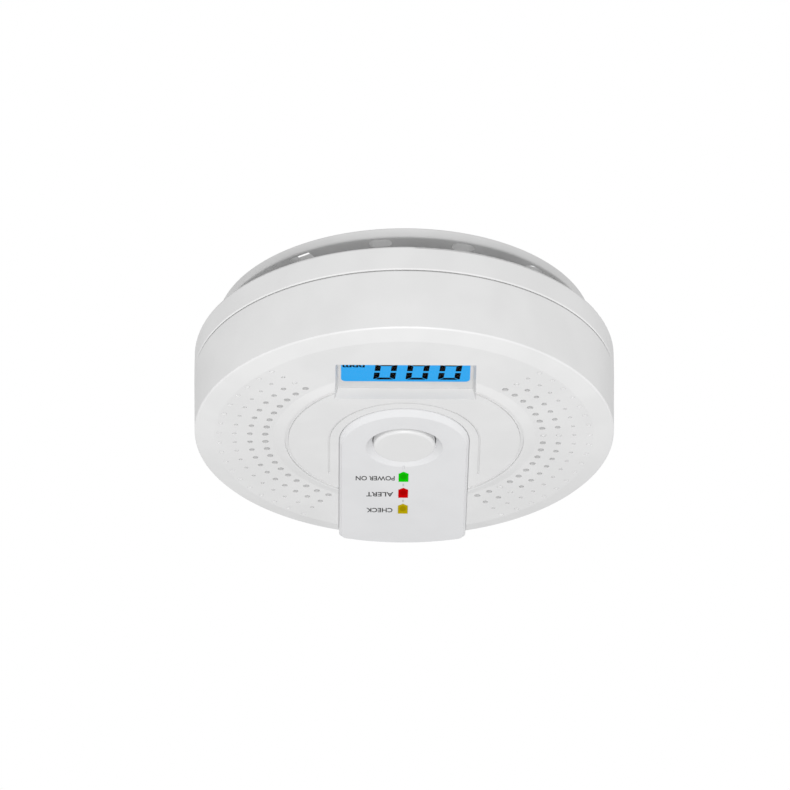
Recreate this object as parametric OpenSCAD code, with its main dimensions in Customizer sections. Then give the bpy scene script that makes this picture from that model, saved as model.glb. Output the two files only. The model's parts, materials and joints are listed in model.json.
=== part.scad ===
// Ceiling carbon monoxide alarm with a digital display and a twist-lock mounting plate.
// Origin: middle of the mounting plate's ceiling face. +Z points up into the ceiling, the alarm
// hangs below it, the display is on the -Y side of the face and the status panel on the +Y side.

/* [Body] */
// Outer diameter of the round body
body_d = 109.3; // [107:0.1:114]
// Total depth of the two covers, from the flat face to the back edge
body_h = 25; // [24.8:0.05:26]
// Height of the joint line between the two covers, measured up from the flat face
parting_h = 17.9; // [17.5:0.1:18.4]
// Wall thickness of the front cover
wall = 2; // [1.8:0.1:2.1]
// How far the rim of the face falls back from its flat middle
rim_drop = 1.1; // [0.6:0.1:1.3]
// Draft of the front cover's side, from the joint to the rim
side_draft = 0.35; // [0.1:0.05:0.5]
// How far the raised middle of the face stands proud of the perforated part
plateau_h = 0.7; // [0.4:0.1:1]

/* [Sound and gas holes] */
// Radius of the innermost row of holes
row_r = 36; // [35.5:0.1:37]
// Distance between two rows
row_gap = 4; // [3.8:0.1:4]
// Number of holes in each row on each side
columns = 18; // [12:1:18]
// Angle between neighbouring holes in degrees
column_step = 6; // [5:0.5:6]

/* [Status panel] */
// Half of the width of the raised panel
panel_half = 16.8; // [16.4:0.1:17]
// Height of the panel above the flat face
panel_h = 2; // [1.8:0.1:2.2]
// Diameter of the test button
button_d = 16; // [15:0.1:16.6]
// Travel of the test button
button_travel = 1; // [0.6:0.1:1]
// How far the test button stands proud of the panel
button_proud = 0.7; // [0.3:0.05:0.8]
// Distance of the first indicator from the centre
led_y = 16.7; // [16.5:0.1:17]
// Distance between two indicators
led_pitch = 8.6; // [8:0.1:9]

/* [Display] */
// Width of the display opening at the face
lcd_w = 35.9; // [34:0.1:36]
// Height of the display opening at the face
lcd_h = 15.9; // [15.6:0.1:16]
// Distance of the middle of the display from the centre
lcd_y = 29.6; // [29.4:0.05:29.7]

/* [Mounting plate] */
// Diameter of the mounting plate
plate_d = 98; // [97:0.2:101]
// Thickness of the mounting plate
plate_t = 2.75; // [2.5:0.05:3]
// Gap between the mounting plate and the back of the body
air_gap = 6.15; // [6.05:0.05:7.5]
// Distance between the middles of the two screw slots
screw_spacing = 60; // [56:1:60]
// Width of each screw slot
screw_slot_w = 4.2; // [3.6:0.1:4.4]
// Distance between the two end centres of each screw slot
screw_slot_l = 4; // [3:0.5:5]
// Turn that locks the alarm on its plate, in degrees
twist = 25; // [24.5:0.5:25]

/* [Hidden] */
$fn = 96;

eps = 0.02;
seam = 0.15;

// Heights: the plate hangs from z = 0, the body below it and the face at the bottom
plate_z = -plate_t;
back_z = plate_z - air_gap;
face_z = back_z - body_h;
part_z = face_z + parting_h;
panel_z = face_z - panel_h;
plateau_z = face_z - plateau_h;
inner_z = face_z + wall;
body_r = body_d / 2;
plate_r = plate_d / 2;
inner_r = body_r - wall;

// Neck on the back of the rear cover, which carries the locking lugs
neck_r = 35;
neck_wall = 1.8;
neck_top = plate_z - 0.55;
neck_skin = 1.6;
back_inner = back_z - 2;
lug_arc = twist - 3;

// Circuit board and the things on it
board_t = 1.6;
board_front = inner_z + 7.6;
board_back = board_front + board_t;
board_r = inner_r - 1.5;
boss_spots = [[24, 40.5], [-24, 40.5], [27, -39], [-27, -39]];
post_spots = [[24, 20.5], [-24, 20.5], [25.5, -19.5], [-25.5, -19.5]];
sensor_spot = [-41, 0];
sensor_r = 9.25;
sounder_spot = [36.5, 2];
sounder_r = 15;

// Battery bay, sunk into the neck
bay = [57, 30];
bay_floor = -20.7;
bay_skin = 1.2;
lid_edge = 1.1;
cell_r = 7.1;
cell_l = 49.2;
cell_y = 7.4;
cell_z = -12.9;
contact_x = 28;

// Test button
button_r = button_d / 2;
button_gap = 0.25;
flange_r = button_r + 1.3;
switch_top = board_front - 3.5;
plunger_r = 1.7;
plunger_h = 1.5;

// Display stack, counted from the face inwards
window_z = face_z + 2.3;
window_t = 0.8;
glass_z = window_z + window_t + 0.1;
glass_t = 1.6;
light_z = glass_z + glass_t + 0.1;
light_t = 2.2;
frame_x = lcd_w / 2 + 2.2;
frame_y = lcd_h / 2 + 1.3;

// Holes of the two inner rows that stay closed: [side, row, column]
closed_holes = [[-1, 1, 0], [1, 0, 7], [1, 0, 15], [1, 1, 0], [1, 1, 7], [1, 1, 15]];
hole_r = [0.8, 0.69, 0.5, 0.65];
first_angle = -45;

// ---------------------------------------------------------------- shared shapes

// Disc or cylinder between two heights
module disc(r, z0, z1) {
  translate([0, 0, min(z0, z1)]) cylinder(r = r, h = abs(z1 - z0));
}

// Box centred on x and y between two heights
module block(x, y, z0, z1) {
  translate([-x / 2, -y / 2, min(z0, z1)]) cube([x, y, abs(z1 - z0)]);
}

// Flat ring or part of a ring
module ring(r0, r1, z0, z1, from = 0, arc = 360) {
  rotate([0, 0, from])
    rotate_extrude(angle = arc)
      translate([r0, min(z0, z1)]) square([r1 - r0, abs(z1 - z0)]);
}

// Slot with round ends, along y
module slot(w, l, z0, z1) {
  block(w, l, z0, z1);
  for (s = [-1, 1]) translate([0, s * l / 2, 0]) disc(w / 2, z0, z1, $fn = 32);
}

// Plan outline of the status panel: an arch, straight sides, and an end that follows the body
module panel_outline(half, arch_y, end_r, corner) {
  cx = half - corner;
  cy = sqrt(pow(end_r - corner, 2) - cx * cx);
  tx = end_r * cx / (end_r - corner);
  translate([0, arch_y]) circle(half, $fn = 72);
  translate([-half, arch_y]) square([2 * half, cy - arch_y]);
  for (s = [-1, 1]) translate([s * cx, cy]) circle(corner, $fn = 32);
  intersection() {
    circle(end_r, $fn = 180);
    translate([-tx, 0]) square([2 * tx, end_r + 1]);
  }
}

// House-shaped outline of an indicator window, with its point towards the button
module led_outline(grow = 0) {
  w = 2.45 + 2 * grow;
  l = 5.4 + 2 * grow;
  roof = 1.1;
  polygon([[-w / 2, l / 2], [w / 2, l / 2], [w / 2, roof - l / 2], [0, -l / 2], [-w / 2, roof - l / 2]]);
}

// Points of a wire wound around the z axis, one ring of corners after another
function coil_points(r0, r1, wire, z0, z1, turns, sides, steps) = [
  for (i = [0:steps])
    let (t = i / steps, a = 360 * turns * t, r = r0 + (r1 - r0) * t, z = z0 + (z1 - z0) * t)
      for (k = [0:sides - 1])
        let (b = 360 * k / sides, rr = r + wire * cos(b))
          [rr * cos(a), rr * sin(a), z + wire * sin(b)]
];

// Coil spring between two heights; the wire's outside touches both
module coil(r0, r1, wire, z0, z1, turns, sides = 6) {
  steps = ceil(turns * 20);
  pts = coil_points(r0, r1, wire, z0 + wire, z1 - wire, turns, sides, steps);
  tube = [
    for (i = [0:steps - 1])
      for (k = [0:sides - 1])
        let (n = (k + 1) % sides, a = i * sides, b = a + sides)
          [a + k, b + k, b + n, a + n]
  ];
  start = [for (k = [0:sides - 1]) k];
  end = [for (k = [0:sides - 1]) steps * sides + sides - 1 - k];
  polyhedron(points = pts, faces = concat([start], tube, [end]), convexity = 10);
}

// ---------------------------------------------------------------- mounting plate

// One oval opening in the rim of the plate
module rim_slot(a) {
  rotate([0, 0, a]) translate([0, 2.8 - plate_r, 0]) rotate([0, 0, 90]) slot(3.5, 2.5, 1, plate_z - 1);
}

// The four openings that repeat on opposite sides of the rim: one wide notch and three ovals
module rim_openings() {
  start = -34.8;
  step = 26.6;
  for (half = [0, 180]) {
    for (k = [1:3]) rim_slot(half + start + k * step);
    rotate([0, 0, half + start]) translate([0, 3.2 - plate_r, 0]) block(6, 4.3, 1, plate_z - 1);
  }
}

// Pockets on the ceiling side that leave ribs and the two screw pads
module plate_pockets() {
  depth = 0.9;
  difference() {
    ring(22, 35, 1, -depth);
    for (s = [-1, 1]) translate([s * screw_spacing / 2, 0, 0]) block(18, 14, 2, -depth - 1);
    for (a = [30, 60, 90, 120, 150]) rotate([0, 0, a]) block(80, 1.6, 2, -depth - 1);
  }
}

// Ceiling plate: disc, locking collar with three inward lugs, and two slots for screws
module mounting_plate() {
  edge = 0.5;
  collar_r = 38;
  collar_z = plate_z - 4.75;
  color("#e6e6e6")
    difference() {
      union() {
        rotate_extrude() {
          translate([0, plate_z]) square([plate_r - edge, plate_t]);
          translate([0, plate_z + edge]) square([plate_r, plate_t - 2 * edge]);
          translate([plate_r - edge, plate_z + edge]) circle(edge, $fn = 32);
          translate([plate_r - edge, -edge]) circle(edge, $fn = 32);
        }
        ring(collar_r, collar_r + 2, plate_z + eps, collar_z);
        for (k = [0:2]) {
          ring(36, collar_r + 0.5, collar_z + 1.5, collar_z + 0.2, k * 120 - 1, lug_arc + 2);
          ring(36.3, collar_r + 0.8, plate_z + eps, collar_z + 0.8, k * 120 + lug_arc + 0.6, 3);
        }
      }
      disc(16, 1, plate_z - 1);
      for (s = [-1, 1]) translate([s * screw_spacing / 2, 0, 0]) rotate([0, 0, 90]) {
        slot(screw_slot_w, screw_slot_l, 1, plate_z - 1);
        slot(screw_slot_w + 4.2, screw_slot_l, plate_z + 1.2, plate_z - 1);
      }
      plate_pockets();
      rim_openings();
    }
}

// ---------------------------------------------------------------- covers

// Half section of the rear cover, without its battery bay
module rear_section() {
  edge = 0.8;
  difference() {
    union() {
      translate([0, neck_top - neck_skin]) square([neck_r, neck_skin]);
      translate([neck_r - neck_wall, back_inner]) square([neck_wall, neck_top - back_inner]);
      translate([neck_r - neck_wall, back_inner]) square([body_r - edge - neck_r + neck_wall, 2]);
      translate([inner_r, part_z + seam]) square([wall, back_z - edge - part_z - seam]);
      translate([body_r - edge, back_z - edge]) circle(edge, $fn = 32);
    }
    translate([inner_r - 1, part_z - 1]) square([2, 2.6]);
    polygon([[body_r + eps, part_z], [body_r + eps, part_z + 0.5], [body_r - 0.25, part_z]]);
  }
}

// Rear cover: back wall, neck with the three locking lugs, battery bay and screw bosses
module rear_cover() {
  bay_top = neck_top - neck_skin;
  color("#e4e4e4")
    difference() {
      union() {
        rotate_extrude() rear_section();
        block(bay[0] + 2 * bay_skin + 0.3, bay[1] + 2 * bay_skin, bay_floor - 1.3, bay_top + eps);
        for (k = [0:2]) ring(neck_r - 0.5, neck_r + 2.4, neck_top - 0.2, neck_top - 2.3, k * 120, lug_arc);
        for (p = boss_spots) translate([p[0], p[1], 0]) disc(3.2, back_inner + eps, part_z + seam);
      }
      block(bay[0], bay[1], bay_floor, 0);
      block(bay[0] + 2 * lid_edge, bay[1] + 2 * lid_edge, bay_top, 0);
      for (sx = [-1, 1]) for (sy = [-1, 1])
        translate([sx * (contact_x + 0.2), sy * cell_y, 0]) block(0.8, 3.6, bay_floor + 1, bay_floor - 2);
      for (p = boss_spots) translate([p[0], p[1], 0]) {
        disc(1.45, back_z + 1, part_z - 1, $fn = 32);
        disc(2.9, back_z + 1, back_z - 2.7, $fn = 48);
      }
    }
}

// Battery door: snaps into the end of the neck, with a grip and two hook lips
module battery_door() {
  x = bay[0] + 2 * lid_edge - 0.4;
  y = bay[1] + 2 * lid_edge - 0.4;
  top = neck_top - 0.05;
  color("#dedede")
    difference() {
      union() {
        block(x, y, top, top - 1.5);
        for (s = [-1, 1]) translate([s * (bay[0] / 2 - 0.9), 0, 0]) block(1.2, 9, top - 1.4, top - 2.4);
      }
      translate([x / 2 - 7, 0, 0]) block(6, 16, top + 1, top - 0.7);
      translate([-x / 2 + 1.2, 0, 0]) block(1, 12, top + 1, top - 2);
    }
}

// Half section of the front cover
module front_section() {
  flat_r = 49.2;
  edge = 0.35;
  rim_r = body_r - side_draft;
  rim_z = face_z + rim_drop;
  difference() {
    union() {
      translate([0, face_z]) square([flat_r, wall]);
      polygon([
        [flat_r - 1, face_z], [flat_r, face_z], [rim_r - edge, rim_z], [rim_r, rim_z + edge],
        [body_r, part_z - seam], [inner_r, part_z - seam], [inner_r, inner_z], [flat_r - 1, inner_z]
      ]);
      translate([inner_r, part_z - 1]) square([0.85, 2.3]);
      polygon([[0, face_z + 0.5], [34, face_z + 0.5], [34, face_z], [31.4, plateau_z], [0, plateau_z]]);
    }
    polygon([[body_r + eps, part_z], [body_r + eps, part_z - 0.5], [body_r - 0.25, part_z]]);
    translate([30, plateau_z - 1]) square([0.9, 1.5]);
  }
}

// Thin arch-shaped line moulded around the status panel
module arch_line() {
  r = 19.5;
  w = 0.45;
  leg = 17.2;
  top = plateau_z + 0.35;
  difference() {
    ring(r - w / 2, r + w / 2, plateau_z - 1, top);
    translate([0, 50, 0]) block(100, 100, plateau_z - 2, top + 1);
  }
  for (s = [-1, 1]) {
    translate([s * r, leg / 2 - eps / 2, 0]) block(w, leg + eps, plateau_z - 1, top);
    translate([s * r, leg, 0]) disc(w / 2, plateau_z - 1, top, $fn = 24);
  }
}

// Field of small holes and dimples on both sides of the face
module hole_field() {
  depth = [0.5, 0.5, 0.6, 0.25];
  for (side = [-1, 1]) for (row = [0:3]) for (i = [0:columns - 1]) {
    a = first_angle + i * column_step;
    r = row_r + row * row_gap;
    through = row < 2 && len([for (c = closed_holes) if (c == [side, row, i]) c]) == 0;
    translate([side * r * cos(a), r * sin(a), 0])
      disc(hole_r[row], face_z - 1, through ? inner_z + 1 : face_z + depth[row], $fn = 24);
  }
}

// Front cover: face with holes, display opening, seat for the status panel, bosses and posts
module front_cover() {
  shrink = 2.1;
  seat_z = face_z + 1;
  color("#ececec")
    difference() {
      union() {
        rotate_extrude() front_section();
        translate([0, -lcd_y, 0]) block(2 * frame_x, 2 * frame_y, inner_z - eps, window_z);
        for (p = boss_spots) translate([p[0], p[1], 0]) disc(3.2, inner_z - eps, part_z - seam);
        for (p = post_spots) translate([p[0], p[1], 0]) disc(2.3, inner_z - eps, board_front);
        ring(flange_r + 0.5, flange_r + 1.7, inner_z - eps, inner_z + 2.5);
      }
      translate([0, -lcd_y, 0]) hull() {
        block(lcd_w - shrink, lcd_h - shrink / 2, window_z, window_z + 1);
        block(lcd_w - shrink, lcd_h - shrink / 2, window_z, window_z - 0.6);
        block(lcd_w + 0.3, lcd_h + 0.3, plateau_z - 0.5, plateau_z - 0.2);
      }
      translate([0, 0, seat_z - 10])
        linear_extrude(10) panel_outline(panel_half + 0.1, 0, body_r + 3, 2);
      disc(button_r + button_gap, inner_z + 1, face_z - 1);
      for (k = [0:2]) translate([0, led_y + k * led_pitch, 0]) block(2.9, 5.9, inner_z + 1, face_z);
      arch_line();
      hole_field();
      for (p = boss_spots) translate([p[0], p[1], 0]) disc(1.25, part_z + 1, inner_z, $fn = 32);
      for (p = post_spots) translate([p[0], p[1], 0]) disc(0.95, board_front + 1, inner_z, $fn = 32);
    }
}

// Status panel: raised tongue with the dished button hole and the three indicator windows
module status_panel() {
  bevel = 0.7;
  inset = 0.06;
  arch_shift = 1.4;
  seat_z = face_z + 1;
  low_z = panel_z + 1;
  end_r = body_r - 0.9;
  end_bevel = 1.3;
  dish_r = 10;
  dish_h = 1.5;
  dish_shift = 1.4;
  hole = button_r + button_gap;
  color("#e8e8ea")
    difference() {
      union() {
        translate([0, 0, low_z])
          linear_extrude(seat_z - seam / 3 - low_z) panel_outline(panel_half, 0, end_r, 2.5);
        hull() {
          translate([0, 0, low_z])
            linear_extrude(0.3) panel_outline(panel_half - inset, 0, end_r - inset, 2.5);
          translate([0, 0, panel_z])
            linear_extrude(eps) panel_outline(panel_half - bevel, arch_shift, end_r - end_bevel, 2.5 - bevel);
        }
      }
      disc(hole, seat_z + 1, panel_z - 1);
      hull() {
        translate([0, dish_shift, 0]) disc(dish_r, panel_z - 1, panel_z, $fn = 72);
        disc(hole - eps, panel_z + dish_h, panel_z, $fn = 72);
      }
      for (k = [0:2]) translate([0, led_y + k * led_pitch, panel_z - 1])
        linear_extrude(panel_h + 3) led_outline(0.08);
      translate([0, 11.6, 0]) block(0.5, 2.6, panel_z - 1, panel_z + 0.2);
    }
}

// Four self-tapping screws that hold the covers together
module housing_screws() {
  color("#9fa2a6")
    for (p = boss_spots) translate([p[0], p[1], 0])
      difference() {
        union() {
          disc(2.6, back_z - 0.9, back_z - 2.7);
          disc(1.2, back_z - 2, back_z - 15, $fn = 48);
        }
        for (a = [0, 90]) rotate([0, 0, a]) block(2.6, 0.6, back_z, back_z - 1.8);
      }
}

// Insect screen behind the open rows of holes, on one side
module screen(side) {
  r0 = 34.9;
  r1 = row_r + row_gap + 2.5;
  half = 54.5;
  middle = 6;
  color("#7c7f82")
    ring(r0, r1, inner_z + 0.05, inner_z + 0.3, (side > 0 ? middle : 180 - middle) - half, 2 * half);
}

module screen_left() { screen(-1); }
module screen_right() { screen(1); }

// ---------------------------------------------------------------- test button

// Test button: round cap, retaining flange and the stem that reaches the switch
module test_button() {
  edge = 0.8;
  cap_z = panel_z - button_proud;
  flange_top = inner_z + 0.1;
  stem_z = switch_top - plunger_h - 0.3;
  color("#ebebeb") {
    rotate_extrude() {
      translate([0, cap_z]) square([button_r - edge, inner_z + 1.1 - cap_z]);
      translate([0, cap_z + edge]) square([button_r, inner_z + 1.1 - cap_z - edge]);
      translate([button_r - edge, cap_z + edge]) circle(edge, $fn = 32);
      translate([0, flange_top]) square([flange_r, 1]);
    }
    disc(2.2, flange_top + 0.9, stem_z);
  }
}

// Return spring between the button's flange and the circuit board
module button_spring() {
  color("#b9bcc0") coil(5.6, 5.6, 0.3, inner_z + 1.1, board_front, 5);
}

// Body of the test switch, soldered to the board
module switch_body() {
  color("#26282b")
    difference() {
      block(6.2, 6.2, board_front, switch_top);
      disc(plunger_r + 0.05, switch_top + 0.9 + button_travel, switch_top - 1, $fn = 48);
    }
}

// Plunger of the test switch
module switch_plunger() {
  color("#3b3f45")
    disc(plunger_r, switch_top - plunger_h, switch_top + 0.8, $fn = 48);
}

// ---------------------------------------------------------------- electronics

// Round circuit board with holes for the bosses, the sensor and its own screws
module circuit_board() {
  color("#2f6b4a")
    difference() {
      disc(board_r, board_front, board_back);
      for (p = boss_spots) translate([p[0], p[1], 0]) disc(3.7, board_front - 1, board_back + 1);
      for (p = post_spots) translate([p[0], p[1], 0]) disc(1.25, board_front - 1, board_back + 1, $fn = 32);
      translate([sensor_spot[0], sensor_spot[1], 0]) disc(sensor_r + 0.2, board_front - 1, board_back + 1);
    }
}

// Four small screws that hold the board on its posts
module board_screws() {
  color("#a7aaae")
    for (p = post_spots) translate([p[0], p[1], 0]) {
      disc(2.1, board_back, board_back + 1.3, $fn = 48);
      disc(0.9, board_back + 0.1, board_front - 4, $fn = 48);
    }
}

// Microcontroller package with its rows of legs
module microcontroller() {
  side = 7;
  legs = 6;
  translate([-14, -9, 0]) color("#222326") {
    block(side, side, board_front - 0.15, board_front - 1.4);
    for (a = [0, 90]) rotate([0, 0, a])
      for (i = [0:legs - 1])
        translate([(i - (legs - 1) / 2) * 1.1, 0, 0]) block(0.4, side + 1.8, board_front, board_front - 0.3);
  }
}

// Quartz crystal can lying on the board
module timing_crystal() {
  color("#c3c6c9") translate([-14, 1, 0]) slot(3.2, 4.4, board_front, board_front - 1.3);
}

// Chip resistors beside the indicators and the microcontroller
module chip_resistors() {
  color("#3a3330") {
    for (k = [0:2]) translate([5.5, led_y + k * led_pitch, 0]) block(2, 1.25, board_front, board_front - 0.5);
    for (k = [0:4]) translate([11, -14 + 2.4 * k, 0]) block(2, 1.25, board_front, board_front - 0.5);
    for (k = [0:3]) translate([15, -14 + 2.4 * k, 0]) block(2, 1.25, board_front, board_front - 0.5);
  }
}

// Electrolytic capacitor on the back of the board
module capacitor() {
  color("#30343c") translate([-33, -26, 0])
    difference() {
      disc(3.15, board_back, board_back + 7);
      ring(2.95, 3.5, board_back + 1, board_back + 1.5);
    }
}

// Wound inductor that steps the voltage up for the sounder
module inductor() {
  color("#4a3a30") translate([33, -26, 0]) {
    disc(4.5, board_back, board_back + 1.2);
    disc(3.4, board_back + 1.1, board_back + 6.9);
    disc(4.5, board_back + 6.8, board_back + 8);
  }
}

// Electrochemical carbon monoxide cell: can, rolled rim and gas port
module co_sensor() {
  color("#c8cacc") translate([sensor_spot[0], sensor_spot[1], 0])
    difference() {
      union() {
        disc(sensor_r - 0.5, inner_z + 0.8, board_back + 5.8);
        disc(sensor_r, inner_z + 2, board_back + 4);
      }
      disc(1.6, inner_z, inner_z + 1.8, $fn = 48);
      ring(sensor_r - 2, sensor_r - 1.2, board_back + 5.3, board_back + 7);
    }
}

// Moulded ring that clips the sensor to the board
module sensor_holder() {
  color("#d9d4c8") translate([sensor_spot[0], sensor_spot[1], 0])
    ring(sensor_r + 0.05, sensor_r + 1.5, board_back, board_back + 1.6);
}

// Foam gasket that keeps room air on the sensor's gas port
module sensor_gasket() {
  color("#4a4c50") translate([sensor_spot[0], sensor_spot[1], 0])
    ring(3.2, 7, inner_z + 0.35, inner_z + 0.75);
}

// Resonance chamber of the sounder, with a sound port in its front wall
module sounder_housing() {
  color("#2c2e31") translate([sounder_spot[0], sounder_spot[1], 0])
    difference() {
      union() {
        ring(sounder_r - 1.2, sounder_r, inner_z + 0.7, board_front);
        ring(sounder_r - 2.6, sounder_r - 1, inner_z + 4.15, inner_z + 5);
        disc(sounder_r - 0.5, inner_z + 0.7, inner_z + 1.7);
      }
      disc(2.5, inner_z, inner_z + 3);
    }
}

// Brass disc of the sounder
module sounder_disc() {
  color("#c9a24a") translate([sounder_spot[0], sounder_spot[1], 0])
    disc(sounder_r - 1.4, inner_z + 3.85, inner_z + 4.1);
}

// Ceramic layer on the brass disc
module sounder_ceramic() {
  color("#e7e2d2") translate([sounder_spot[0], sounder_spot[1], 0])
    disc(10, inner_z + 4.1, inner_z + 4.35);
}

// Two sprung pins that feed the sounder
module sounder_contacts() {
  color("#c7b26a") translate([sounder_spot[0], sounder_spot[1], 0]) {
    translate([0, 4, 0]) disc(0.8, inner_z + 4.35, board_front);
    translate([0, -11.2, 0]) disc(0.8, inner_z + 4.1, board_front);
  }
}

// ---------------------------------------------------------------- display

// Clear window glued behind the display opening
module display_window() {
  color("#dff0ff", 0.4) translate([0, -lcd_y, 0])
    block(2 * frame_x - 1, 2 * frame_y - 1, window_z + 0.02, window_z + window_t);
}

// Liquid crystal glass, a front and a back sheet
module display_glass() {
  color("#3aaeff") translate([0, -lcd_y, 0]) {
    block(lcd_w + 0.2, lcd_h - 1, glass_z, glass_z + glass_t / 2);
    block(lcd_w + 0.2, lcd_h - 3.2, glass_z + glass_t / 2 - eps, glass_z + glass_t);
  }
}

// Light guide behind the glass
module display_backlight() {
  color("#bfe4ff") translate([0, -lcd_y, 0]) block(lcd_w - 1, lcd_h - 3.6, light_z, light_z + light_t);
}

// Moulded frame that holds the display on the board
module display_frame() {
  color("#e9e9e9") translate([0, -lcd_y, 0])
    difference() {
      block(2 * frame_x, 2 * frame_y, glass_z - 0.05, board_front);
      block(lcd_w + 0.6, lcd_h - 0.6, glass_z - 1, glass_z + glass_t + 0.2);
      block(lcd_w + 0.6, lcd_h - 0.2, glass_z + glass_t, board_front + 1);
    }
}

// Two conductive rubber strips that join the glass to the board
module display_strips() {
  color("#3c3c40") translate([0, -lcd_y, 0])
    for (s = [-1, 1]) translate([0, s * (lcd_h / 2 - 1), 0])
      block(lcd_w - 2, 1, glass_z + glass_t / 2 + 0.02, board_front);
}

// ---------------------------------------------------------------- indicators

// Indicator lamp on the board, k = 0 is the one nearest the button
module led(k) {
  translate([0, led_y + k * led_pitch, 0]) {
    block(3.2, 2.8, board_front, board_front - 1.2);
    disc(1.2, board_front - 1.1, board_front - 1.8);
  }
}

module led_green() { color("#dfeedd") led(0); }
module led_red() { color("#f0dcdc") led(1); }
module led_amber() { color("#f0ead4") led(2); }

// Light pipe from a lamp to its window in the panel, with a flange under the cover's face
module light_pipe(k) {
  translate([0, led_y + k * led_pitch, 0]) {
    translate([0, 0, panel_z + 0.05])
      linear_extrude(board_front - 2.2 - panel_z - 0.05) led_outline();
    block(3.6, 6.2, inner_z + 0.05, inner_z + 0.9);
  }
}

module light_pipe_green() { color("#14c80a") light_pipe(0); }
module light_pipe_red() { color("#c80005") light_pipe(1); }
module light_pipe_amber() { color("#b4960a") light_pipe(2); }

// ---------------------------------------------------------------- batteries

// One AA cell along x, with its raised terminal on the side given by dir
module cell(dir, y) {
  nub = 1.3;
  translate([dir * (contact_x - 0.5 - nub - cell_l / 2), y, cell_z]) rotate([0, dir * 90, 0]) {
    translate([0, 0, -cell_l / 2]) cylinder(r = cell_r, h = cell_l);
    translate([0, 0, cell_l / 2 - 0.1]) cylinder(r = 2.6, h = nub + 0.1);
  }
}

module battery_1() { color("#4d5a66") cell(1, cell_y); }
module battery_2() { color("#4d5a66") cell(-1, -cell_y); }

// Metal plates at both ends of the bay, each with a tab that reaches the board
module battery_contacts() {
  plate = 0.4;
  top = cell_z + 6;
  color("#c5c8cb")
    for (sx = [-1, 1]) for (sy = [-1, 1]) {
      translate([sx * (contact_x + plate / 2), sy * cell_y, 0]) {
        block(plate, 11, top, top - 12);
        block(plate, 3, top - 11, board_back);
      }
      if (sx == sy)
        translate([sx * (contact_x - 0.5), sy * cell_y, cell_z])
          rotate([0, sx * 90, 0]) cylinder(r = 2, h = 0.6);
    }
}

// Two conical springs at the flat ends of the cells
module battery_springs() {
  length = 2 * contact_x - 0.5 - cell_l - 1.3;
  color("#c5c8cb")
    for (s = [-1, 1])
      translate([-s * contact_x, s * cell_y, cell_z])
        rotate([0, s * 90, 0]) coil(4.2, 2.6, 0.3, 0.02, length - 0.02, 4);
}

mounting_plate();
rear_cover();
battery_door();
front_cover();
status_panel();
housing_screws();
screen_left();
screen_right();
test_button();
button_spring();
switch_body();
switch_plunger();
circuit_board();
board_screws();
microcontroller();
timing_crystal();
chip_resistors();
capacitor();
inductor();
co_sensor();
sensor_holder();
sensor_gasket();
sounder_housing();
sounder_disc();
sounder_ceramic();
sounder_contacts();
display_window();
display_glass();
display_backlight();
display_frame();
display_strips();
led_green();
led_red();
led_amber();
light_pipe_green();
light_pipe_red();
light_pipe_amber();
battery_1();
battery_2();
battery_contacts();
battery_springs();
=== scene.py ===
# %% [markdown]
# # A ceiling carbon monoxide alarm
# The housing, the board, the gas cell, the sounder and the batteries come from the design as a fixed
# frame. This lesson adds what the design leaves out: the finish of every surface, the printed words,
# the lit display, and the fine wire of the insect screens and the button spring. Lengths are in metres,
# and places are worked out from the boxes of the pieces that are already there.

# %% Load the frame
import json
import math
import bpy
import numpy as np
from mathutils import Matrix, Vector


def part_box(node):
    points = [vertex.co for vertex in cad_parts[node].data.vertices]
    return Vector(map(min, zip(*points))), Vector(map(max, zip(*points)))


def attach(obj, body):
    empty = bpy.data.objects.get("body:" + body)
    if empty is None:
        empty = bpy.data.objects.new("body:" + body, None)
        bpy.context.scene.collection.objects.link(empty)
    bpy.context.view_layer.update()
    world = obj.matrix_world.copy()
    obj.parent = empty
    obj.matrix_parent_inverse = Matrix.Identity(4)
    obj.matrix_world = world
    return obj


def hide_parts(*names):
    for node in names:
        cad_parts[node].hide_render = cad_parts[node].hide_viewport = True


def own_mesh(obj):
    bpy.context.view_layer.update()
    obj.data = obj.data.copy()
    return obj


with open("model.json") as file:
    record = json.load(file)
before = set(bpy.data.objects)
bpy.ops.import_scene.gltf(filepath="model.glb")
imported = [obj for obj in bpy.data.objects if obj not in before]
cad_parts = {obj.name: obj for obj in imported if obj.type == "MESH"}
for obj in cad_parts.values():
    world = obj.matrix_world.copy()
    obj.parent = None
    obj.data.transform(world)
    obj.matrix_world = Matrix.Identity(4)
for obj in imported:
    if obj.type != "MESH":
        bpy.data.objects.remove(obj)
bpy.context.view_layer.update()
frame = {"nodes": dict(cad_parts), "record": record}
nodes = frame["nodes"]
MM = 0.001

# %% [markdown]
# ## Camera
# The alarm hangs from a ceiling, so it is looked at from below, about thirty degrees under its face. A
# long lens a metre and a half away keeps the round body from bulging. The camera could be aimed by a
# constraint, but two angles, a distance and a small slide say the same thing and stay easy to read.

# %% Place the camera
VIEW_TURN = math.radians(0.58)
VIEW_RISE = math.radians(30.12)
VIEW_DISTANCE = 1.458
LENS_MM = 256.6
SENSOR_MM = 36.0
NEAREST_SEEN = 0.05
SLIDE_RIGHT = -2.4 * MM
SLIDE_UP = 11.3 * MM
PLATEAU_HEIGHT = 0.7 * MM

face_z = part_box("front_cover")[0].z + PLATEAU_HEIGHT
level = math.cos(VIEW_RISE)
ahead = Vector((math.sin(VIEW_TURN) * level, math.cos(VIEW_TURN) * level, math.sin(VIEW_RISE)))
right = Vector((math.cos(VIEW_TURN), -math.sin(VIEW_TURN), 0))
up = right.cross(ahead)

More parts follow.
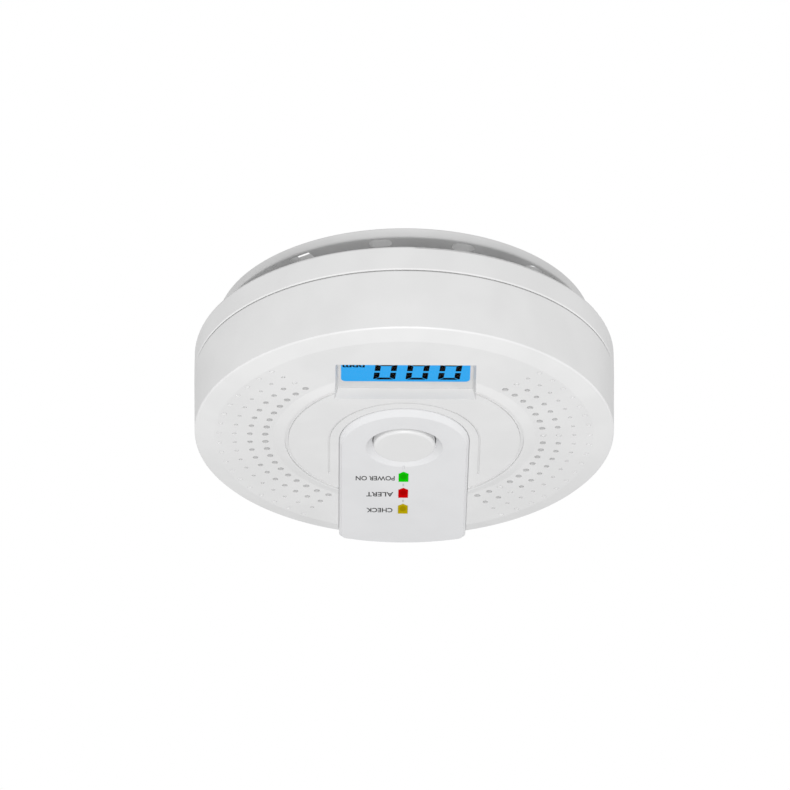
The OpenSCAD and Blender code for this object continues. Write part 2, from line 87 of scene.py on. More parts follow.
camera_data = bpy.data.cameras.new("camera")
camera_data.lens = LENS_MM
camera_data.sensor_width = SENSOR_MM
camera_data.clip_start = NEAREST_SEEN
camera = bpy.data.objects.new("camera", camera_data)
camera.location = Vector((0, 0, face_z)) - VIEW_DISTANCE * ahead + SLIDE_RIGHT * right + SLIDE_UP * up
camera.rotation_mode = "QUATERNION"
camera.rotation_quaternion = ahead.to_track_quat("-Z", "Y")
bpy.context.scene.collection.objects.link(camera)
bpy.context.scene.camera = camera
print("camera at", [round(value, 4) for value in camera.location])

# %% [markdown]
# ## Light and floor
# White plastic needs an even, bright room, or its edges vanish, and a few soft lamps, or it looks flat.
# The room is the world, dimmer for the alarm than for the camera, so that the background stays white.
# The strongest lamp stands low in front, so that slopes which face it come out brighter than the
# flat face, and the face darkens a little towards its far side. A small lamp on either side keeps the
# ends of the round body from sinking, and one above lights the rim of the plate. The floor lies too far
# below to be seen from underneath.

# %% A helper for soft lamps
def aim(thing, place, target):
    """Puts a lamp at a place and turns its -z axis towards the target."""
    thing.location = place
    thing.rotation_mode = "QUATERNION"
    thing.rotation_quaternion = (Vector(target) - Vector(place)).to_track_quat("-Z", "Y")


def soft_lamp(name, place, size, watts):
    """A square lamp, aimed at the middle of the face and never seen by the camera itself."""
    data = bpy.data.lights.new(name, "AREA")
    data.size = size
    data.energy = watts
    lamp = bpy.data.objects.new(name, data)
    aim(lamp, place, (0, 0, face_z))
    lamp.visible_camera = False
    bpy.context.scene.collection.objects.link(lamp)
    return lamp


# %% Light the studio
ROOM_LIGHT = 0.63
LAMPS = {
    "front_lamp": ((0, -0.60, -0.76), 0.30, 5.7),
    "left_lamp": ((-0.40, 0.08, -0.03), 0.20, 0.30),
    "right_lamp": ((0.40, 0.08, -0.03), 0.20, 0.30),
    "top_lamp": ((0, -0.50, 0.35), 0.30, 0.18),
}

world = bpy.data.worlds.new("white_room")
world.use_nodes = True
backdrop = world.node_tree.nodes["Background"]
sight = world.node_tree.nodes.new("ShaderNodeLightPath")
power = world.node_tree.nodes.new("ShaderNodeMapRange")
power.inputs["To Min"].default_value = ROOM_LIGHT
backdrop.inputs["Color"].default_value = (1, 1, 1, 1)
world.node_tree.links.new(sight.outputs["Is Camera Ray"], power.inputs["Value"])
world.node_tree.links.new(power.outputs["Result"], backdrop.inputs["Strength"])
bpy.context.scene.world = world
bpy.context.scene.view_settings.view_transform = "Standard"
for lamp_name, (lamp_place, lamp_size, lamp_watts) in LAMPS.items():
    soft_lamp(lamp_name, lamp_place, lamp_size, lamp_watts)
print("room light", ROOM_LIGHT, "and", len(LAMPS), "lamps")

# %% [markdown]
# ## Finishes
# Nearly everything here is moulded, drawn or rolled, and such surfaces are never one flat colour: resin
# cools in faint clouds, and the mould leaves a fine grain. One helper gives all of that. A slow noise
# mixes two close colours, a faster one moves the roughness, and a fine one lifts the surface a few
# thousandths of a millimetre. All three read Object coordinates, so they sit still on the piece.

# %% Helpers for noise on Object coordinates
NOISE_BAND = (0.3, 0.7)


def add_node(tree, kind, **values):
    """A shader node, with its input sockets set by name."""
    node = tree.nodes.new(kind)
    for socket, value in values.items():
        node.inputs[socket.replace("_", " ")].default_value = value
    return node


def coordinates(tree, stretch=(1, 1, 1), centre=(0, 0, 0)):
    """Object coordinates moved to a centre and then stretched along each axis."""
    source = tree.nodes.new("ShaderNodeTexCoord")
    mapping = tree.nodes.new("ShaderNodeMapping")
    mapping.inputs["Scale"].default_value = stretch
    mapping.inputs["Location"].default_value = [-c * s for c, s in zip(centre, stretch)]
    tree.links.new(source.outputs["Object"], mapping.inputs["Vector"])
    return mapping.outputs["Vector"]


def noise(tree, vector, size, detail=2.0):
    """Noise whose clouds are about `size` metres across."""
    node = add_node(tree, "ShaderNodeTexNoise", Scale=1 / size, Detail=detail)
    tree.links.new(vector, node.inputs["Vector"])
    return node.outputs[0]


def ramp(tree, value, *stops):
    """Colours at places between 0 and 1, with a smooth run from each to the next."""
    node = tree.nodes.new("ShaderNodeValToRGB")
    node.color_ramp.interpolation = "EASE"
    elements = node.color_ramp.elements
    while len(elements) < len(stops):
        elements.new(1.0)
    for element, (position, colour) in zip(elements, stops):
        element.position = position
        element.color = (*colour, 1.0)
    tree.links.new(value, node.inputs["Fac"])
    return node.outputs["Color"]


def spread(tree, value, low, high):
    """A noise value, which mostly lies in NOISE_BAND, stretched over low to high."""
    node = add_node(tree, "ShaderNodeMapRange", From_Min=NOISE_BAND[0], From_Max=NOISE_BAND[1],
                    To_Min=low, To_Max=high)
    tree.links.new(value, node.inputs["Value"])
    return node.outputs["Result"]


# %% A helper for a whole finish
EDGE_SAMPLES = 6
CLOUD_BAND = (0.35, 0.65)
SHEEN_FINENESS = 5


def surface(name, dark, light, rough, clouds=14 * MM, grain=0.4 * MM, relief=0.0, edge=0.0,
            stretch=(1, 1, 1), **sockets):
    """Clouds of two colours, roughness from rough[0] to rough[1] in clouds SHEEN_FINENESS times smaller,
    and a grain `relief` metres high. `edge` is the radius in metres to which sharp edges look rounded."""
    material = bpy.data.materials.new(name)
    material.use_nodes = True
    tree = material.node_tree
    shader = tree.nodes["Principled BSDF"]
    vector = coordinates(tree, stretch)
    clouding = ramp(tree, noise(tree, vector, clouds), (CLOUD_BAND[0], dark), (CLOUD_BAND[1], light))
    tree.links.new(clouding, shader.inputs["Base Color"])
    sheen = spread(tree, noise(tree, vector, clouds / SHEEN_FINENESS), *rough)
    tree.links.new(sheen, shader.inputs["Roughness"])
    bump = add_node(tree, "ShaderNodeBump", Strength=1.0, Distance=relief)
    tree.links.new(noise(tree, vector, grain, detail=3.0), bump.inputs["Height"])
    tree.links.new(bump.outputs["Normal"], shader.inputs["Normal"])
    if edge > 0:
        bevel = add_node(tree, "ShaderNodeBevel", Radius=edge)
        bevel.samples = EDGE_SAMPLES
        tree.links.new(bevel.outputs["Normal"], bump.inputs["Normal"])
    for socket, value in sockets.items():
        shader.inputs[socket.replace("_", " ")].default_value = value
    return material


def grey(value):
    """One brightness for red, green and blue."""
    return (value, value, value)


# %% [markdown]
# ## White mouldings
# The covers, the panel and the button are flame-retardant white plastic with a fine satin texture. A
# textured mould also blurs the light on the edges, so each edge is softened by a tenth of a millimetre
# in the shading. The plate is made from the same resin in another mould and comes out a little greyer.

# %% Mix the white plastics
finishes = {}
finishes["cover_plastic"] = surface(
    "cover_plastic", grey(0.735), grey(0.760), (0.40, 0.50), relief=0.003 * MM, edge=0.14 * MM)
finishes["panel_plastic"] = surface(
    "panel_plastic", (0.725, 0.727, 0.737), (0.748, 0.750, 0.760), (0.42, 0.50), relief=0.003 * MM,
    edge=0.14 * MM)
finishes["button_plastic"] = surface(
    "button_plastic", grey(0.738), grey(0.760), (0.36, 0.44), relief=0.002 * MM, edge=0.2 * MM)
finishes["plate_plastic"] = surface(
    "plate_plastic", grey(0.725), grey(0.755), (0.46, 0.56), relief=0.004 * MM, edge=0.14 * MM)
finishes["holder_plastic"] = surface(
    "holder_plastic", (0.60, 0.59, 0.56), (0.66, 0.65, 0.62), (0.40, 0.52), relief=0.004 * MM)
print("white plastics:", sorted(finishes))

# %% [markdown]
# ## Dark plastics, rubber and foam
# The sounder, the switch and the chips are black resin, duller where glass fibre comes to the surface.
# The foam ring round the gas cell is full of small cells, so its grain is coarse and tall. The rubber
# strips of the display are layered, and a noise squeezed along x draws the layers.

# %% Mix the dark finishes
finishes["switch_plastic"] = surface(
    "switch_plastic", grey(0.018), grey(0.030), (0.35, 0.50), relief=0.004 * MM)
finishes["sounder_plastic"] = surface(
    "sounder_plastic", grey(0.020), grey(0.034), (0.42, 0.58), relief=0.006 * MM, edge=0.15 * MM)
finishes["chip_black"] = surface(
    "chip_black", grey(0.012), grey(0.024), (0.50, 0.65), clouds=3 * MM, grain=0.1 * MM, relief=0.003 * MM)
finishes["foam"] = surface(
    "foam", grey(0.020), grey(0.060), (0.85, 0.98), clouds=0.8 * MM, grain=0.5 * MM, relief=0.15 * MM)
finishes["strip_rubber"] = surface(
    "strip_rubber", grey(0.012), grey(0.190), (0.70, 0.85), clouds=0.25 * MM, grain=0.3 * MM,
    relief=0.01 * MM, stretch=(1, 0.05, 0.05))
finishes["capacitor_sleeve"] = surface(
    "capacitor_sleeve", (0.010, 0.013, 0.030), (0.020, 0.026, 0.052), (0.22, 0.34), relief=0.002 * MM)
print("finishes so far:", len(finishes))

# %% [markdown]
# ## Metals
# Drawn wire and rolled sheet carry fine lines along the way they were made. Stretching the noise along
# that way draws the lines. The zinc on the screws is cloudy instead, the winding is lacquered copper,
# and the cans of the cell and the crystal are bright nickel with a soft sheen.

# %% Mix the metals
finishes["screw_steel"] = surface(
    "screw_steel", (0.42, 0.43, 0.45), (0.62, 0.62, 0.60), (0.25, 0.42), clouds=2 * MM, relief=0.002 * MM,
    Metallic=1.0)
finishes["spring_steel"] = surface(
    "spring_steel", grey(0.46), grey(0.62), (0.22, 0.34), clouds=1.5 * MM, relief=0.001 * MM, Metallic=1.0)
finishes["screen_mesh"] = surface(
    "screen_mesh", (0.10, 0.10, 0.11), (0.17, 0.17, 0.18), (0.40, 0.55), clouds=2 * MM, Metallic=0.8)
finishes["can_metal"] = surface(
    "can_metal", (0.55, 0.56, 0.57), (0.68, 0.68, 0.68), (0.20, 0.34), clouds=4 * MM, grain=0.3 * MM,
    relief=0.002 * MM, stretch=(1, 1, 0.08), Metallic=1.0)
finishes["contact_metal"] = surface(
    "contact_metal", (0.60, 0.60, 0.58), (0.74, 0.73, 0.70), (0.14, 0.26), clouds=3 * MM,
    relief=0.001 * MM, Metallic=1.0)
finishes["sounder_brass"] = surface(
    "sounder_brass", (0.52, 0.36, 0.13), (0.68, 0.50, 0.20), (0.24, 0.40), clouds=3 * MM, grain=0.3 * MM,
    relief=0.002 * MM, stretch=(0.08, 1, 1), Metallic=1.0)
finishes["inductor_winding"] = surface(
    "inductor_winding", (0.20, 0.07, 0.025), (0.42, 0.17, 0.06), (0.25, 0.38), clouds=0.5 * MM,
    grain=0.3 * MM, relief=0.02 * MM, stretch=(0.1, 0.1, 1), Metallic=0.6)
finishes["sounder_ceramic"] = surface(
    "sounder_ceramic", (0.62, 0.59, 0.50), (0.74, 0.71, 0.62), (0.45, 0.60), clouds=5 * MM,
    grain=0.2 * MM, relief=0.003 * MM)
print("finishes so far:", len(finishes))

# %% [markdown]
# ## Board and battery jackets
# A board is green lacquer over copper tracks, and the tracks show as a paler, slightly raised pattern.
# The walls of large cells of a Voronoi texture, cut to a narrow band, read as tracks between pads. A
# battery is a plain dark jacket with bare steel at both ends, so its finish changes along x.

# %% Lacquered board
TRACK_CELL = 5 * MM
TRACK_EDGE = (0.05, 0.09)
TRACK_GREEN = (0.035, 0.230, 0.105)
LACQUER_GREEN = (0.014, 0.115, 0.050)


def laminate(name):
    """Green lacquer whose tracks are the borders of Voronoi cells about TRACK_CELL across."""
    material = surface(name, (0.012, 0.105, 0.045), (0.018, 0.135, 0.060), (0.26, 0.36), relief=0.001 * MM)
    tree = material.node_tree
    shader = tree.nodes["Principled BSDF"]
    cells = add_node(tree, "ShaderNodeTexVoronoi", Scale=1 / TRACK_CELL)
    cells.feature = "DISTANCE_TO_EDGE"
    tree.links.new(coordinates(tree, (1, 1, 0)), cells.inputs["Vector"])
    tracks = ramp(tree, cells.outputs["Distance"], (TRACK_EDGE[0], TRACK_GREEN),
                  (TRACK_EDGE[1], LACQUER_GREEN))
    tree.links.new(tracks, shader.inputs["Base Color"])
    return material


finishes["board_laminate"] = laminate("board_laminate")
print("tracks run round cells", round(TRACK_CELL / MM, 1), "mm across")

# %% Battery jacket
BARE_END = 2.2 * MM
JACKET_EDGE = 0.2 * MM
JACKET_BLUE = (0.026, 0.038, 0.058)
BARE_STEEL = (0.58, 0.58, 0.57)


def jacket(name, half_length, bare):
    """Dark jacket over the middle, and bare steel where abs(x) is past half_length - bare."""
    material = surface(name, (0.02, 0.03, 0.05), (0.03, 0.042, 0.065), (0.24, 0.34), relief=0.001 * MM)
    tree = material.node_tree
    shader = tree.nodes["Principled BSDF"]
    axis = add_node(tree, "ShaderNodeSeparateXYZ")
    tree.links.new(coordinates(tree), axis.inputs["Vector"])
    size = tree.nodes.new("ShaderNodeMath")
    size.operation = "ABSOLUTE"
    tree.links.new(axis.outputs["X"], size.inputs[0])
    end = add_node(tree, "ShaderNodeMapRange", From_Min=half_length - bare - JACKET_EDGE,
                   From_Max=half_length - bare)
    tree.links.new(size.outputs[0], end.inputs["Value"])
    colour = ramp(tree, end.outputs["Result"], (0.0, JACKET_BLUE), (1.0, BARE_STEEL))
    tree.links.new(colour, shader.inputs["Base Color"])
    tree.links.new(end.outputs["Result"], shader.inputs["Metallic"])
    return material


cell_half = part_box("battery_1")[1].x
finishes["cell_jacket"] = jacket("cell_jacket", cell_half, BARE_END)
print("a battery reaches", round(cell_half / MM, 2), "mm from the middle")

# %% [markdown]
# ## Clear and lit parts
# Behind the opening lie a clear window, the display glass and a light guide. The glass glows blue where
# no segment is dark, so it gives off light of its own, a little less towards the ends, where the guide
# is fed. The indicator windows are tinted light pipes: bright at the rim, deeper in the middle.

# %% A helper for glowing parts
GLOW_BAND = (0.45, 0.85)


def lit(name, centre, reach, middle, rim, rough, stretch=(1, 1, 1), body=0.1):
    """Glow that runs from the colour `middle` to the colour `rim` over `reach` metres from a centre. The
    unlit colour is `body` times the glow, and the surface has no gloss, so that it stays deep."""
    material = surface(name, [body * part for part in middle], [body * part for part in rim], rough,
                       clouds=2 * MM, Specular_IOR_Level=0.0)
    tree = material.node_tree
    shader = tree.nodes["Principled BSDF"]
    far = tree.nodes.new("ShaderNodeVectorMath")
    far.operation = "LENGTH"
    tree.links.new(coordinates(tree, stretch, centre), far.inputs[0])
    share = add_node(tree, "ShaderNodeMapRange", From_Min=0.0, From_Max=reach)
    tree.links.new(far.outputs["Value"], share.inputs["Value"])
    colour = ramp(tree, share.outputs["Result"], (GLOW_BAND[0], middle), (GLOW_BAND[1], rim))
    tree.links.new(colour, shader.inputs["Emission Color"])
    shader.inputs["Emission Strength"].default_value = 1.0
    return material


def middle_of(node):
    """The middle of a piece's box."""
    low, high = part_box(node)
    return (low + high) / 2


# %% Glow of the display
GLASS_REACH = 30 * MM
GLASS_MIDDLE_BLUE = (0.040, 0.430, 0.95)
GLASS_END_BLUE = (0.036, 0.395, 0.92)

glass_middle = middle_of("display_glass")
finishes["display_glass"] = lit(
    "display_glass", glass_middle, GLASS_REACH, GLASS_MIDDLE_BLUE, GLASS_END_BLUE, (0.2, 0.3),
    stretch=(1, 0.6, 1), body=0.02)
finishes["display_light"] = surface(
    "display_light", (0.50, 0.58, 0.66), (0.60, 0.68, 0.74), (0.30, 0.40), clouds=6 * MM)
print("the glass glows round", [round(value / MM, 1) for value in glass_middle], "mm")

# %% Tinted light pipes and clear parts
PIPE_REACH = 2.2 * MM
LAMP_COLOURS = {
    "green": ((0.006, 0.360, 0.001), (0.003, 0.520, 0.001)),
    "red": ((0.360, 0.001, 0.001), (0.520, 0.001, 0.002)),
    "amber": ((0.310, 0.225, 0.001), (0.430, 0.330, 0.002)),
}
for lamp, (deep, bright) in LAMP_COLOURS.items():
    pipe = "light_pipe_" + lamp
    finishes[lamp + "_light"] = lit(
        pipe, middle_of(pipe), PIPE_REACH, deep, bright, (0.35, 0.45), stretch=(1.6, 1, 0))
finishes["lamp_body"] = surface(
    "lamp_body", (0.70, 0.72, 0.70), (0.80, 0.81, 0.79), (0.10, 0.18), clouds=2 * MM, Alpha=0.6)
finishes["clear_window"] = surface(
    "clear_window", (0.018, 0.020, 0.022), (0.022, 0.024, 0.026), (0.03, 0.06), clouds=8 * MM, Alpha=0.05)

# %% [markdown]
# ## Give every piece its finish
# The design already says which finish each piece takes, so a loop reads that list. Nothing has to be
# named twice, and a piece that is added later is covered too. The glow of the glass is told not to fall
# on its surroundings, because a real backlight is far too weak to tint white plastic in a bright room.

# %% Assign the finishes
def dress(thing, material):
    """Puts one material in every material slot of a piece."""
    if not thing.material_slots:
        thing.data.materials.append(material)
    for slot in thing.material_slots:
        slot.material = material


for part in frame["record"]["subparts"]:
    dress(nodes[part["node"]], finishes[part["material_slot"]])
nodes["display_glass"].visible_diffuse = False

# %% [markdown]
# ## Making meshes from arrays
# Every new piece is worked out as whole arrays. A grid of points becomes a sheet, a tube or a closed
# ring, depending on which of its two directions is joined end to end. One helper numbers the faces and
# another puts points and faces into a mesh that rides on a body of the alarm.

# %% Helpers for meshes
def grid_faces(rows, columns, close_rows=False, close_columns=False):
    """Quads of a grid whose point (r, c) has the number r * columns + c. A quad's normal points along
    the direction of the rows crossed with the direction of the columns."""
    r = np.arange(rows if close_rows else rows - 1)[:, None]
    c = np.arange(columns if close_columns else columns - 1)[None, :]
    below, beside = (r + 1) % rows, (c + 1) % columns
    corners = [r * columns + c, below * columns + c, below * columns + beside, r * columns + beside]
    return np.stack(np.broadcast_arrays(*corners), axis=-1).reshape(-1, 4)


def make_piece(name, points, faces, material, body="head", smooth=False):
    """A mesh piece with its place in its points, which rides on a body."""
    mesh = bpy.data.meshes.new(name)
    mesh.from_pydata(np.reshape(points, (-1, 3)).tolist(), [], [list(face) for face in faces])
    mesh.polygons.foreach_set("use_smooth", np.full(len(mesh.polygons), smooth))
    mesh.update()
    piece = bpy.data.objects.new(name, mesh)
    bpy.context.scene.collection.objects.link(piece)
    dress(piece, material)
    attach(piece, body)
    print(name, "has", len(mesh.polygons), "faces")
    return piece


# %% Wire along a path
def wires(paths, radius, sides):
    """Points and faces of round wires, from an array of wires by steps by xyz. Each ring is the path's
    point plus radius * (cos t * side + sin t * lift), where side is level and square to the path, and
    lift is square to both. A flat cap closes each end."""
    along = np.gradient(paths, axis=1)
    along /= np.linalg.norm(along, axis=2, keepdims=True)
    side = np.cross(along, [0.0, 0.0, 1.0])
    side /= np.linalg.norm(side, axis=2, keepdims=True)
    lift = np.cross(side, along)
    t = np.linspace(0, 2 * math.pi, sides, endpoint=False)[:, None]
    rings = paths[:, :, None] + radius * (np.cos(t) * side[:, :, None] + np.sin(t) * lift[:, :, None])
    count, steps = paths.shape[:2]
    start = (np.arange(count) * steps * sides)[:, None]
    tube = (grid_faces(steps, sides, close_columns=True)[None] + start[:, :, None]).reshape(-1, 4)
    first_cap = start + np.arange(sides)
    last_cap = (start + (steps - 1) * sides + np.arange(sides))[:, ::-1]
    return rings, [*tube, *first_cap, *last_cap]


# %% [markdown]
# ## Insect screens
# Behind the open rows of holes lies a curved strip of woven wire that keeps insects and dust out. Each
# wire rises over one crossing and dips under the next, which is a cosine along its length. The wires of
# the other set run the same cosine upside down, so the two never meet. Real wires are modelled instead
# of a pattern, because light has to pass between them.

# %% Weave the screens
SCREEN_WIDTH = 7.6 * MM
SCREEN_SPREAD = math.radians(54.5)
SCREEN_TURN = math.radians(6)
WIRE_PITCH = 0.55 * MM
WIRE_SIDES = 4
WIRE_SHARE = 0.96
END_ROOM = 1.1


def woven_screen(name, node, middle):
    """A strip of weave on an arc. Wire i of the long set lies at radius r_i and at height
    a * cos(pi * (j + i)) where it meets wire j of the short set, which is at the opposite height. A wire
    is a little thinner than a quarter of the strip, so that crossing wires clear each other."""
    low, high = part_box(node)
    outer = max(abs(low.x), abs(high.x))
    wire = (high.z - low.z) / 4 * WIRE_SHARE
    across = round(SCREEN_WIDTH / WIRE_PITCH)
    pitch = SCREEN_WIDTH / across
    ends = wire * END_ROOM
    radii = outer - ends - pitch * np.arange(across)
    count = 2 * round(SCREEN_SPREAD * radii.mean() / WIRE_PITCH)
    turn = 2 * SCREEN_SPREAD / count

    j = np.arange(0, count + 0.01, 0.5)[None, :]
    i = np.arange(across)[:, None]
    angle = middle - SCREEN_SPREAD + turn * j
    height = (low.z + high.z) / 2 + wire * np.cos(math.pi * (i + j))
    long_set = np.stack(np.broadcast_arrays(
        radii[:, None] * np.cos(angle), radii[:, None] * np.sin(angle), height), axis=-1)

    i = np.arange(0, across - 0.99, 0.5)[None, :]
    j = np.arange(count + 1)[:, None]
    angle = middle - SCREEN_SPREAD + turn * j
    radius = outer - ends - pitch * i
    height = (low.z + high.z) / 2 - wire * np.cos(math.pi * (i + j))
    short_set = np.stack(np.broadcast_arrays(
        radius * np.cos(angle), radius * np.sin(angle), height), axis=-1)

    long_points, long_faces = wires(long_set, wire, WIRE_SIDES)
    short_points, short_faces = wires(short_set, wire, WIRE_SIDES)
    first = long_points.size // 3
    points = np.concatenate([long_points.reshape(-1, 3), short_points.reshape(-1, 3)])
    faces = long_faces + [face + first for face in short_faces]
    piece = make_piece(name, points, faces, finishes["screen_mesh"], smooth=True)
    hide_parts(node)
    return piece


woven_screen("woven_screen_left", "screen_left", math.pi - SCREEN_TURN)
woven_screen("woven_screen_right", "screen_right", SCREEN_TURN)

# %% [markdown]
# ## Button spring
# The test button is pushed back by a light coil spring between its flange and the board. Its end turns
# are closed: they lie flat so that the spring stands square. The path is a helix whose height follows a
# smooth step, slow at both ends and steady between. The real spring flattens when the button is pressed;
# this one keeps the height of the spring in the design.

# %% Wind the spring
SPRING_TURNS = 6
STEPS_PER_TURN = 36
SPRING_SIDES = 12
SPRING_WIRE = 0.3 * MM
DRAWN_WIRE = SPRING_WIRE * WIRE_SHARE
CLOSED_SHARE = 0.85


def closed_coil(low, high, radius, wire, turns, steps):
    """Helix of (radius * cos a, radius * sin a, z), where z is a straight rise mixed with CLOSED_SHARE
    of the smooth step 3 s^2 - 2 s^3."""
    share = np.linspace(0, 1, steps + 1)
    eased = share * share * (3 - 2 * share)
    closed = CLOSED_SHARE * eased + (1 - CLOSED_SHARE) * share
    angle = 2 * math.pi * turns * share
    height = low + wire + (high - low - 2 * wire) * closed
    return np.stack([radius * np.cos(angle), radius * np.sin(angle), height], axis=-1)[None]


low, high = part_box("button_spring")
path = closed_coil(low.z, high.z, high.x - SPRING_WIRE, DRAWN_WIRE, SPRING_TURNS,
                   SPRING_TURNS * STEPS_PER_TURN)
spring = make_piece("wound_button_spring", *wires(path, DRAWN_WIRE, SPRING_SIDES),
                    finishes["spring_steel"], smooth=True)
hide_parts("button_spring")
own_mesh(spring)

# %% [markdown]
# ## Flat prints and display segments
# Ink and liquid crystal are only hundredths of a millimetre thick, yet they are modelled as closed,
# very flat blocks, so that they cast and catch light as the real ones do. A block is an outline carried
# from one height to another.

# %% Flat blocks from outlines
def blocks(outlines, low, high):
    """Closed blocks between two heights from an array of outlines by corners by xy. Outlines that run
    clockwise are turned round first, so that every face points outwards."""
    outlines = np.array(outlines, float)
    following = np.roll(outlines, -1, axis=1)
    area = (outlines[..., 0] * following[..., 1] - following[..., 0] * outlines[..., 1]).sum(axis=1)
    outlines[area < 0] = outlines[area < 0][:, ::-1]
    count, corners = outlines.shape[:2]
    heights = np.array([low, high])[None, :, None, None]
    flat = np.broadcast_to(outlines[:, None], (count, 2, corners, 2))
    points = np.concatenate([flat, np.broadcast_to(heights, (count, 2, corners, 1))], axis=-1)
    start = (np.arange(count) * 2 * corners)[:, None]
    walls = (grid_faces(2, corners, close_columns=True)[None, :, ::-1] + start[:, :, None]).reshape(-1, 4)
    bottoms = (start + np.arange(corners))[:, ::-1]
    tops = start + corners + np.arange(corners)
    return points, [*walls, *bottoms, *tops]


# %% Inks
finishes["display_black"] = surface(
    "display_black", grey(0.0005), grey(0.0020), (0.45, 0.55), clouds=4 * MM, Specular_IOR_Level=0.0)
finishes["grey_ink"] = surface(
    "grey_ink", grey(0.036), grey(0.048), (0.50, 0.62), clouds=3 * MM, grain=0.08 * MM, relief=0.002 * MM)
finishes["pale_ink"] = surface(
    "pale_ink", grey(0.52), grey(0.56), (0.50, 0.62), clouds=3 * MM, grain=0.08 * MM, relief=0.002 * MM)
finishes["white_ink"] = surface(
    "white_ink", grey(0.60), grey(0.64), (0.40, 0.50), clouds=6 * MM, grain=0.1 * MM, relief=0.001 * MM)

# %% [markdown]
# ## Display
# The display shows three zeros, the reading in clean air, and a small unit beside them. Each zero is
# six segments that lean a little, as on any such display. They are read from the indicator side, so a
# digit's right is -x and its top is +y. A white border printed on the window hides the edges of the
# glass, and its corners are rounded.

# %% Segments of a zero
DIGIT_HEIGHT = 7.7 * MM
DIGIT_WIDTH = 5.6 * MM
UPRIGHT = 1.45 * MM
BAR = 0.95 * MM
SEGMENT_GAP = 0.12 * MM
MIDDLE_GAP = 0.42 * MM
CORNER_CUT = 0.2 * MM
LEAN = 0.08


def zero_segments():
    """Four upright segments and two bars, each a quarter of the zero mirrored by signs, then leaned by
    adding LEAN times the height to the width."""
    w, h = DIGIT_WIDTH / 2, DIGIT_HEIGHT / 2
    upright = [(w, MIDDLE_GAP), (w, h - SEGMENT_GAP - CORNER_CUT), (w - CORNER_CUT, h - SEGMENT_GAP),
               (w - UPRIGHT, h - BAR - SEGMENT_GAP), (w - UPRIGHT, MIDDLE_GAP)]
    reach = w - 2 * SEGMENT_GAP - CORNER_CUT
    bar = [(reach, h), (w - UPRIGHT - SEGMENT_GAP, h - BAR), (0, h - BAR),
           (-w + UPRIGHT + SEGMENT_GAP, h - BAR), (-reach, h)]
    signs = np.array([(1, 1), (-1, 1), (1, -1), (-1, -1)])[:, None, :]
    quarter = np.array(upright)[None] * signs
    ends = np.array(bar)[None] * np.array([(1, 1), (1, -1)])[:, None, :]
    shapes = np.concatenate([quarter, ends])
    shapes[..., 0] += LEAN * shapes[..., 1]
    return shapes


# %% Three zeros on the glass
DIGIT_PITCH = 8.25 * MM
DIGITS_MIDDLE = 3.1 * MM
DIGITS_TOP = 4.7 * MM
INK = 0.02 * MM
GLASS_INK_GAP = 0.005 * MM

glass_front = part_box("display_glass")[0].z
window_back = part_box("display_window")[1].z
ink_low = glass_front - INK - GLASS_INK_GAP
ink_high = glass_front - GLASS_INK_GAP
digit_y = glass_middle.y + DIGITS_TOP - DIGIT_HEIGHT / 2
centres = np.array([(DIGITS_MIDDLE + k * DIGIT_PITCH, digit_y) for k in (-1, 0, 1)])
segments = centres[:, None, None, :] - zero_segments()[None] * np.array([1, -1])
points, faces = blocks(segments.reshape(-1, 5, 2), ink_low, ink_high)
make_piece("display_digits", points, faces, finishes["display_black"])
print("room in front of the glass:", round((glass_front - window_back) / MM, 3), "mm")

# %% Border round the glass
BORDER_HALF = (16.45 * MM, 4.9 * MM)
BORDER_MIDDLE = -0.7 * MM
BORDER_CORNER = 1.3 * MM
RIM_HALF = (17.8 * MM, 8.1 * MM)
RIM_CORNER = 0.1 * MM
CORNER_STEPS = 8
THIN_INK = 0.012 * MM
INK_GAP = 0.004 * MM


def rounded_box(half, radius, steps):
    """Loop of points: at angle t, the nearest corner's centre plus radius * (cos t, sin t)."""
    quarter, step = np.divmod(np.arange(4 * steps), steps)
    t = (step / (steps - 1) + quarter) * math.pi / 2
    sign = np.array([(1, 1), (-1, 1), (-1, -1), (1, -1)])[quarter]
    return sign * (np.array(half) - radius) + radius * np.stack([np.cos(t), np.sin(t)], axis=-1)


window_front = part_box("display_window")[0].z
print_low, print_high = window_front - THIN_INK - INK_GAP, window_front - INK_GAP
hole = rounded_box(BORDER_HALF, BORDER_CORNER, CORNER_STEPS) + [0, glass_middle.y + BORDER_MIDDLE]
rim = rounded_box(RIM_HALF, RIM_CORNER, CORNER_STEPS) + [0, glass_middle.y]
loops = [np.column_stack([loop, np.full(len(loop), z)])
         for loop, z in [(hole, print_high), (hole, print_low), (rim, print_low), (rim, print_high)]]
faces = grid_faces(4, len(hole), close_rows=True, close_columns=True)
make_piece("display_border", np.array(loops), faces[:, ::-1], finishes["white_ink"])

# %% [markdown]
# ## Words
# Beside each indicator stands a plain label in small grey capitals, printed by a soft pad. Blender can
# write them as text objects. They are made a mesh first and only then fitted between two corners,
# because a finished piece keeps its place in its points. They are read from the indicator side. The unit
# on the display is made the same way, and a short pale line stands between each indicator and the next.

# %% A helper for printed words
LETTER_DEPTH = 0.01
CURVE_STEPS = 4


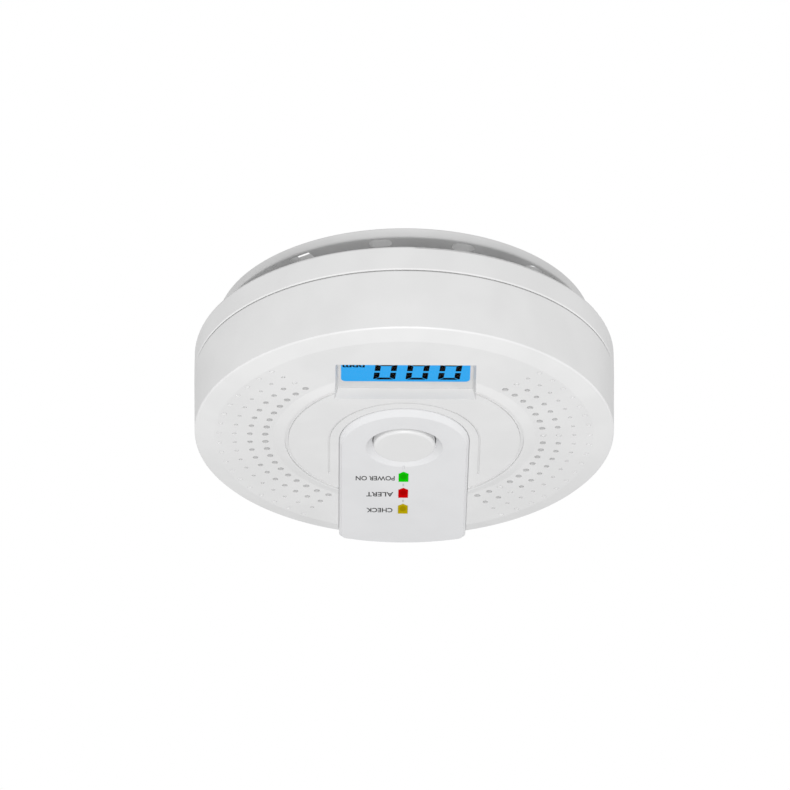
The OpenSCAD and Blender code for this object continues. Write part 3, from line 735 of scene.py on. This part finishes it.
def printed(name, words, start, size, front, thickness, material, weight=0.0):
    """Words made a mesh, then scaled to `size`. x runs from start to -x, y upwards, and z down, which is
    half a turn round y, so that the faces still point outwards. `weight` thickens the strokes."""
    curve = bpy.data.curves.new(name, "FONT")
    curve.body = words
    curve.extrude = LETTER_DEPTH
    curve.offset = weight
    curve.resolution_u = CURVE_STEPS
    writer = bpy.data.objects.new(name + "_writer", curve)
    bpy.context.scene.collection.objects.link(writer)
    depsgraph = bpy.context.evaluated_depsgraph_get()
    written = bpy.data.meshes.new_from_object(writer.evaluated_get(depsgraph))
    bpy.data.objects.remove(writer)
    points = np.empty(len(written.vertices) * 3)
    written.vertices.foreach_get("co", points)
    points = points.reshape(-1, 3)
    low, high = points.min(axis=0), points.max(axis=0)
    share = (points - low) / (high - low)
    placed = np.array([*start, front + thickness]) + share * np.array([-size[0], size[1], -thickness])
    faces = [tuple(polygon.vertices) for polygon in written.polygons]
    return make_piece(name, placed, faces, material)


# %% Print a word beside each indicator
LABELS = {
    "green": ("POWER ON", 2.3 * MM, 10.2 * MM),
    "red": ("ALERT", 2.6 * MM, 7.1 * MM),
    "amber": ("CHECK", 2.7 * MM, 6.9 * MM),
}
CAP_HEIGHT = 2.35 * MM
LABEL_DROP = 0.75 * MM
LABEL_WEIGHT = 0.018

panel_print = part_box("status_panel")[0].z - INK_GAP
for lamp, (words, gap, width) in LABELS.items():
    lamp_y = middle_of("light_pipe_" + lamp).y
    start = (-gap, lamp_y + LABEL_DROP - CAP_HEIGHT / 2)
    printed("label_" + lamp, words, start, (width, CAP_HEIGHT), panel_print - INK, INK,
            finishes["grey_ink"], weight=LABEL_WEIGHT)

# %% Unit on the display
UNIT_START = -10.4 * MM
UNIT_DROP = 3.6 * MM
UNIT_SIZE = (5.7 * MM, 2.3 * MM)
UNIT_WEIGHT = 0.03

unit_start = (UNIT_START, glass_middle.y - UNIT_DROP)
printed("display_unit", "ppm", unit_start, UNIT_SIZE, ink_low, INK, finishes["display_black"],
        weight=UNIT_WEIGHT)

# %% Pale lines between the indicators
LINE_SIZE = (0.45 * MM, 1.3 * MM)

lamp_rows = sorted(middle_of("light_pipe_" + lamp).y for lamp in LAMP_COLOURS)
between = [(a + b) / 2 for a, b in zip(lamp_rows, lamp_rows[1:])]
corner_signs = np.array([(-1, -1), (1, -1), (1, 1), (-1, 1)])
outlines = [corner_signs * np.array(LINE_SIZE) / 2 + [0, y] for y in between]
points, faces = blocks(outlines, panel_print - INK, panel_print)
make_piece("indicator_lines", points, faces, finishes["pale_ink"])

# %% [markdown]
# ## Floor
# A plain pale floor far below closes the studio. It isn't part of the alarm, so it is put on the stage.

# %% Lay the floor
FLOOR_DROP = 1.9
FLOOR_HALF = 5.0

floor_mesh = bpy.data.meshes.new("floor")
floor_corners = np.column_stack([corner_signs * FLOOR_HALF, np.full(4, -FLOOR_DROP)])
floor_mesh.from_pydata(floor_corners.tolist(), [], [(0, 1, 2, 3)])
floor = bpy.data.objects.new("floor", floor_mesh)
bpy.context.scene.collection.objects.link(floor)
dress(floor, surface("pale_floor", grey(0.78), grey(0.82), (0.7, 0.8), clouds=0.4, grain=0.01))
print("the floor lies", FLOOR_DROP, "m below the ceiling")
